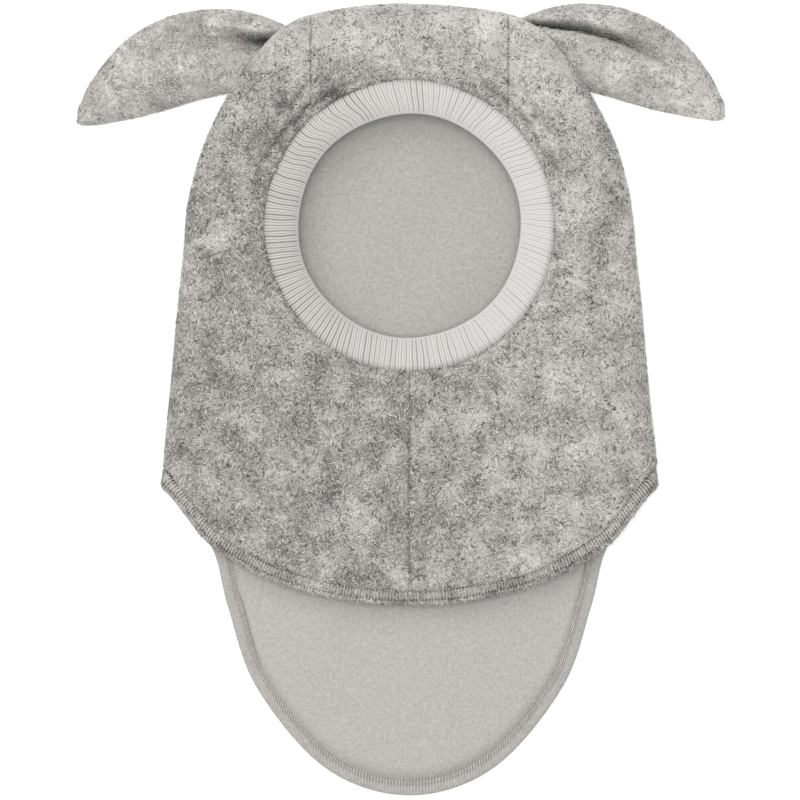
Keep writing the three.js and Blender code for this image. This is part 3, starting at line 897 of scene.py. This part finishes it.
# Needle rows, as shares of the half width from the middle of the roll towards its edge
front_rows = (-0.88, 0.22)
bib_rows = (-0.77, -0.45)
front_roll = hem_roll(front_frame, front_run, front_rows, (0.7, 0.8), lines=0.15)
bib_roll = hem_roll(bib_frame, bib_run, bib_rows, (0.5, 0.6), lines=0.8)
hem_front = add_piece("front_hem_roll", *front_roll[:2], fleece, "fleece", {"groove": front_roll[2]})
hem_back = add_piece("bib_hem_roll", *bib_roll[:2], jersey, "jersey", {"groove": bib_roll[2]})
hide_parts("hem_front")
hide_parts("hem_back")
print("front hem", round(front_run[-1]), "mm long, bib hem", round(bib_run[-1]), "mm")

# %% [markdown]
# **Stitches.** A coverstitch holds each hem: two rows of needle thread, and a looper thread that
# runs to and fro between them like the rungs of a ladder. Each rung is a short closed strand that
# lies on the roll. Thread is 0.3 mm thick; it is drawn slightly thicker so that it still shows.

# %% Thread on the hems
thread_radius = 0.18


def strands(paths, radius, sides=6):
    """Closed tubes round many paths of equal length at once, a ring at each point of each path."""
    tangent = unit(np.gradient(paths, axis=1))
    side = unit(np.cross(tangent, np.array([0, 0, 1.0])))
    top = np.cross(side, tangent)
    angle = (np.arange(sides) + 0.5) / sides * 2 * np.pi
    ring = side[:, :, None] * np.cos(angle)[:, None] + top[:, :, None] * np.sin(angle)[:, None]
    points = (paths[:, :, None] + radius * ring).reshape(-1, 3)
    count, length = paths.shape[:2]
    quads = tube_quads(length, sides)
    quads = (quads[None] + (np.arange(count) * length * sides)[:, None, None]).reshape(-1, 4)
    return points, facing_out(points, quads)


def on_hem(frame, run, where, across, lift):
    """Points on the upper face of a roll, at a length along it and a share of its half width."""
    centre, wide, thick = (
        np.stack([np.interp(where, run, v[:, k]) for k in range(3)], axis=-1) for v in frame
    )
    up = (1 - np.minimum(np.abs(across), 0.999) ** 3.2) ** 0.4
    return centre + wide * across[..., None] + thick * (up + lift)[..., None]


def ladder(frame, run, rows, slant, margin):
    """A rung for each overlock stitch, from one row of needle holes to the other, slanted by a
    length along the hem, and none within a margin of its ends."""
    begin = np.arange(margin, run[-1] - margin, overlock_pitch)
    begin = begin + rng.normal(0, 0.08, len(begin))
    share = np.linspace(0, 1, 6)[None, :]
    where = begin[:, None] + slant * share
    across = rows[0] + (rows[1] - rows[0]) * share + 0 * where
    return on_hem(frame, run, where, across, 0.09 * np.sin(np.pi * share) + 0 * where - 0.01)


def add_thread(name, paths, tones, at_sides, slot):
    """One object of thread strands. The tone is drawn between the two tones strand by strand, and
    rises by at_sides from 60 mm outwards, where less wool covers the thread."""
    points, quads = strands(paths, thread_radius)
    tone = rng.uniform(*tones, len(paths)) + at_sides * np.clip((np.abs(paths[:, 0, 0]) - 60) / 40, 0, 1)
    tone = np.repeat(tone, len(points) // len(paths))
    return add_piece(name, points, quads, sewing_thread, slot, {"tone": tone})


front_thread = add_thread(
    "front_hem_stitches", ladder(front_frame, front_run, front_rows, slant=0.4, margin=5.0),
    tones=(0.25, 0.6), at_sides=0.4, slot="fleece",
)
bib_thread = add_thread(
    "bib_hem_stitches", ladder(bib_frame, bib_run, bib_rows, slant=0.3, margin=9.6),
    tones=(0.5, 0.9), at_sides=0.0, slot="jersey",
)
print("hem stitches:", len(front_thread.data.polygons) + len(bib_thread.data.polygons), "faces")

# %% [markdown]
# **Ears.** A lop ear is two leaves of fleece sewn together, thinly filled, and folded lengthwise
# where it is caught in the seam. Cloth simulation could puff it up, but the fold is what is seen,
# and a simulation would have to be led into it. So each ear is a padded leaf worked out section by
# section, with its own crease: short and soft on the left, a long deep slit on the right.

# %% Sizes of the ears
ear_length = 99.0
ear_width = 42.0
ear_thickness = 6.0
ear_root_height = 14.0
ear_root_turn = np.radians(36)
ear_root_inset = 11.0
ear_droop = np.radians(17)
# How far along the ear, its upper and lower edge as shares of its width, its height, and for each
# ear how deep the crease is and where its valley lies
ear_columns = (
    "along", "upper", "lower", "height", "depth_left", "valley_left", "depth_right", "valley_right",
)
ear_table = np.array([
    (-0.16, 0.10, 0.30, 0.80, 0.80, 0.20, 1.00, 0.30),
    (-0.10, 0.32, 0.36, 1.00, 1.00, 0.20, 1.00, 0.30),
    (0.05, 0.60, 0.30, 1.00, 1.00, 0.28, 1.00, 0.36),
    (0.20, 0.76, 0.20, 0.94, 0.50, 0.45, 1.00, 0.43),
    (0.40, 0.84, 0.16, 0.78, 0.16, 0.60, 0.90, 0.45),
    (0.60, 0.78, 0.155, 0.58, 0.06, 0.60, 0.55, 0.40),
    (0.75, 0.62, 0.135, 0.40, 0.02, 0.50, 0.16, 0.34),
    (0.88, 0.40, 0.10, 0.18, 0.00, 0.30, 0.00, 0.20),
    (0.96, 0.20, 0.065, 0.06, 0.00, 0.10, 0.00, 0.10),
    (0.985, 0.115, 0.04, 0.03, 0.00, 0.05, 0.00, 0.05),
    (1.00, 0.00, 0.00, 0.00, 0.00, 0.00, 0.00, 0.00),
])
crease_depth = 11.5
root_end = -0.16
tip_end = 0.998
print("ears", ear_length, "mm long and", ear_width, "mm wide")


# %% Surface of an ear
def ear_column(name, along):
    """A column of the ear table as a smooth curve over the way along the ear."""
    column = ear_columns.index(name)
    curve = smooth_curve(ear_table[:, [0, column]])
    return np.interp(along, curve[:, 0], curve[:, 1])


def ear_surface(sign, side_name, pull, low_side, high_side, bulge, painted_crease_shade, painted_light, stations=160, around=88):
    """Each section is a flat-bottomed half ellipse less a crease: a bell of its own width to either
    side of the valley, with the lobe below it raised by the bulge. The pull is how far out it lies.
    Gives the points, the faces and the two point values of the fleece: groove, the painted shade along the
    crease, and pale, the painted light over the ear."""
    share = np.linspace(0, 1, stations)
    along = (root_end + (tip_end - root_end) * (1 - (1 - share) ** 1.35))[:, None]
    upper = ear_column("upper", along) * ear_width
    lower = ear_column("lower", along) * ear_width
    rise = ear_thickness + ear_column("height", along) * (ear_root_height - ear_thickness)
    middle, half = (upper - lower) / 2, (upper + lower) / 2
    angle = ((np.arange(around) + 0.5) / around * 2 * np.pi)[None, :]
    c = -np.cos(angle)
    top = np.sin(angle) > 0
    roundness = np.abs(np.sin(angle))
    edge = ear_thickness / 3
    side = middle + c * half
    from_valley = side - ear_column("valley_" + side_name, along) * ear_width
    widen = 0.75 + 0.8 * np.clip(along, 0, 1)
    width = np.where(from_valley < 0, low_side, high_side) * widen
    depth = ear_column("depth_" + side_name, along)
    crease = depth * np.minimum(crease_depth, rise - fleece_wall) * bell(from_valley, width)
    lobe = bulge * depth * bell(from_valley + 2.6 * low_side + 3, 7.0)
    soft = 0.3 * np.sin(along * 17 + side / 9) + 0.2 * np.sin(along * 31 - side / 7 + 2)
    full = edge + (rise - edge) * roundness - (crease - lobe) * np.minimum(roundness * 1.6, 1)
    z_top = np.maximum(full + soft * roundness, edge * 0.8)
    z = np.where(top, z_top, edge * (1 - roundness))
    axis = np.array([sign * np.cos(ear_droop), -np.sin(ear_droop)])
    up = np.array([sign * np.sin(ear_droop), np.cos(ear_droop)])
    root = polar(fold_reach(ear_root_turn) - ear_root_inset, sign * ear_root_turn)
    plan = root + axis * (along[..., None] * ear_length + pull) + up * side[..., None]
    turn, reach = np.arctan2(plan[..., 0], plan[..., 1]), np.hypot(plan[..., 0], plan[..., 1])
    under_fold = np.maximum(back_height(plan[..., 0], plan[..., 1]) - piece_gap, 0.3)
    inside = reach < fold_reach(turn) + 0.5
    z = np.where(inside, np.minimum(z, under_fold * np.where(top, 1, 0.5)), z)
    points = np.concatenate([plan, z[..., None]], axis=-1).reshape(-1, 3)
    # Painted shade along the crease, faded out at the root.
    shade = painted_crease_shade * (crease / crease_depth) ** 2 * top * np.clip((along + 0.06) / 0.08, 0, 1)
    return points, facing_out(points, tube_quads(stations, around)), shade.ravel(), np.full(shade.size, painted_light)


# %% Both ears
# Each ear has painted light over it, more on the right one, and painted shade along its crease, darker on the
# right.
ear_sheets = {
    "ear_left": ear_surface(
        -1, "left", pull=4.2, low_side=7.5, high_side=2.8, bulge=0.8, painted_crease_shade=0.9, painted_light=0.8
    ),
    "ear_right": ear_surface(
        1, "right", pull=-4.2, low_side=1.3, high_side=3.4, bulge=3.2, painted_crease_shade=1.6, painted_light=1.2
    ),
}
for name, (points, quads, shade, painted_light) in ear_sheets.items():
    ear = add_piece(name + "_leaf", points, quads, fleece, "fleece", {"groove": shade, "painted_light": painted_light})
    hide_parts(name)
    print(name, len(ear.data.polygons), "faces")

# %% [markdown]
# **Nap.** Brushed fleece is covered in short loose ends of wool, light and dark, that lie in small
# swirls and blur its outline. Blender's hair would render them well but is no mesh. So each tuft of
# fibres is a closed sliver of four triangles: a root in the cloth, a tip that stands a little off
# it, and two points between them that give it its width. Wool is far finer than the photo could
# show, so one sliver stands for a tuft, 0.2 mm wide.

# %% The nap
swirl_field = wave_field(13, 13.0)
tone_field = wave_field(13, 15.0)
back_share = 0.25
tuft_width = 0.2
tuft_lengths = (1.3, 3.2)


def nap_of(points, quads, shade, painted_light, per_mm2, contrast):
    """Slivers at random places, with fewer underneath and in the shade of a fold, and shorter ones
    where the cloth turns away, lighter there as painted sheen. Their direction turns with the swirl
    field plus a scatter, and their tone is drawn dark or light around the tone field, with painted
    light from the pale value and painted shade in a fold's crease."""
    normals = point_normals(points, quads)
    area = np.linalg.norm(crossed_diagonals(points, quads), axis=1) / 2
    weight = area * np.where(normals[quads[:, 0], 2] > -0.3, 1, back_share)
    weight = weight * (1 - np.clip(0.9 * shade[quads[:, 0]], 0, 0.7))
    count = int(weight.sum() * per_mm2)
    pick = rng.choice(len(quads), count, p=weight / weight.sum())
    u, v = rng.random((2, count, 1))
    shares = [(1 - u) * (1 - v), u * (1 - v), u * v, (1 - u) * v]
    root = sum(s * points[quads[pick, k]] for k, s in enumerate(shares))
    normal = unit(sum(s * normals[quads[pick, k]] for k, s in enumerate(shares)))
    angle = 2.6 * swirl_field(root[:, 0], root[:, 1]) + rng.normal(0, 0.55, count)
    flat = np.stack([np.cos(angle), np.sin(angle), np.zeros(count)], axis=-1)
    along = unit(flat - normal * np.einsum("ij,ij->i", flat, normal)[:, None])
    side = np.cross(normal, along)
    turned = np.clip(1 - normal[:, 2], 0, 1)
    length = (rng.uniform(*tuft_lengths, count) * (1 - 0.5 * turned))[:, None]
    curl = rng.normal(0, 0.16, count)[:, None] * length
    lift = (rng.uniform(0.05, 0.38, count) * (1 - 0.5 * turned))[:, None]
    middle = root + along * length * 0.5 + normal * (lift + 0.1)
    tip = root + along * length + side * curl + normal * lift * rng.uniform(0.2, 1.8, (count, 1))
    across = side * tuft_width / 2
    sliver = np.stack([root - 0.15 * normal, tip, middle + across, middle - across], axis=1)
    faces = np.array([[0, 2, 1], [0, 1, 3], [0, 3, 2], [1, 2, 3]])
    faces = (faces[None] + 4 * np.arange(count)[:, None, None]).reshape(-1, 3)
    # Painted light: more light tufts where the pale value is high, and at the outline as painted sheen.
    light_share = 0.48 + 0.2 * painted_light[quads[pick, 0]] + 0.2 * tone_field(root[:, 0], root[:, 1])
    light = rng.random(count) < light_share + 0.5 * turned**2
    tone = np.where(light, rng.uniform(0.6, 1.0, count), rng.uniform(0.0, 0.4, count))
    tone = np.clip(0.5 + contrast * (tone - 0.5), 0, 1)
    # Painted shade: tufts darker in the crease of a fold.
    tone = tone * (1 - np.clip(1.2 * shade[quads[pick, 0]], 0, 0.85))
    sliver = sliver.reshape(-1, 3)
    sliver[:, 2] = np.maximum(sliver[:, 2], 0.05)
    return sliver, facing_out(sliver, faces), {"tone": np.repeat(tone, 4)}


for name, sheet, per_mm2, contrast in (
    ("side_panel_left_nap", fleece_sheets["side_panel_left"], 1.15, 1.15),
    ("side_panel_right_nap", fleece_sheets["side_panel_right"], 1.15, 1.2),
    ("crown_panel_nap", fleece_sheets["crown_panel"], 1.15, 1.2),
    ("ear_left_nap", ear_sheets["ear_left"], 1.3, 0.65),
    ("ear_right_nap", ear_sheets["ear_right"], 1.3, 0.7),
    ("front_hem_nap", (*front_roll[:2], 0 * front_roll[2], crown_painted_light(front_roll[0])), 0.5, 1.0),
):
    sliver, faces, tone = nap_of(*sheet, per_mm2, contrast)
    nap = add_piece(name, sliver, faces, wool_nap, "fleece", tone)
    nap.data.polygons.foreach_set("use_smooth", np.zeros(len(faces), bool))
    print(name, len(faces), "triangles")

# %% [markdown]
# ** Cloth.** Each fleece panel and the lining are sheets, cut flat and then sewn and folded into the hood.


# %% [markdown]
# **Camera, light and floor.** The photo looks straight down on the hood against pure white, in
# soft light that comes a little more from the upper left. A long lens high above keeps the sides
# from leaning, a large soft box and a fill give faint shadows, and the floor is matt white paper
# that glows slightly, as a light table would.

# %% Camera
photo_scale = 0.47
frame_px = 800
face_px = (409.5, 227.0)
distance = 1500.0
eye_level = 10.0
camera_data = bpy.data.cameras.new("camera_above")
camera_data.lens = camera_data.sensor_width * distance / (frame_px * photo_scale)
camera = bpy.data.objects.new("camera_above", camera_data)
camera.location = (
    (frame_px / 2 - face_px[0]) * photo_scale * MM,
    (face_px[1] - frame_px / 2) * photo_scale * MM,
    (eye_level + distance) * MM,
)
bpy.context.scene.collection.objects.link(camera)
bpy.context.scene.camera = camera
print("lens", round(camera_data.lens), "mm, one pixel covers", photo_scale, "mm")

# %% Light
world = bpy.data.worlds.new("white_room")
world.use_nodes = True
background = world.node_tree.nodes["Background"]
background.inputs["Color"].default_value = (1, 1, 1, 1)
background.inputs["Strength"].default_value = 0.38
bpy.context.scene.world = world
for name, watts, size, place, turned in (
    ("soft_box", 11, 1.5, (-0.5, 0.4, 1.3), (-0.28, -0.37, 0)),
    ("fill_above", 20, 0.8, (0.0, -0.08, 2.0), (0, 0, 0)),
):
    lamp_data = bpy.data.lights.new(name, "AREA")
    lamp_data.energy = watts
    lamp_data.size = size
    lamp = bpy.data.objects.new(name, lamp_data)
    lamp.location = place
    lamp.rotation_euler = turned
    bpy.context.scene.collection.objects.link(lamp)
    print(name, watts, "W")
bpy.context.scene.view_settings.view_transform = "Standard"

# %% Floor
floor_half = 4.0
floor_level = -0.0003
floor_corners = [(-1, -1), (1, -1), (1, 1), (-1, 1)]
floor_mesh = bpy.data.meshes.new("floor")
floor_mesh.from_pydata(
    [(x * floor_half, y * floor_half, floor_level) for x, y in floor_corners], [], [(0, 1, 2, 3)]
)
floor = bpy.data.objects.new("floor", floor_mesh)
paper, paper_tree, paper_shader, paper_place = new_material("matt_white_paper")
paper_grain = add_node(
    paper_tree, "ShaderNodeTexNoise", {"Vector": paper_place, "Scale": per_metre(3), "Detail": 2.0}
)
paper_colour = add_node(
    paper_tree, "ShaderNodeValToRGB", {"Fac": paper_grain.outputs["Fac"]},
    stops=[(0.0, "#f8f8f8"), (1.0, "#fcfcfc")],
)
paper_tree.links.new(paper_colour.outputs["Color"], paper_shader.inputs["Base Color"])
paper_shader.inputs["Roughness"].default_value = 0.9
paper_shader.inputs["Emission Color"].default_value = (1, 1, 1, 1)
paper_shader.inputs["Emission Strength"].default_value = 0.25
floor_mesh.materials.append(paper)
bpy.context.scene.collection.objects.link(floor)
print("floor:", 2 * floor_half, "m of white paper")
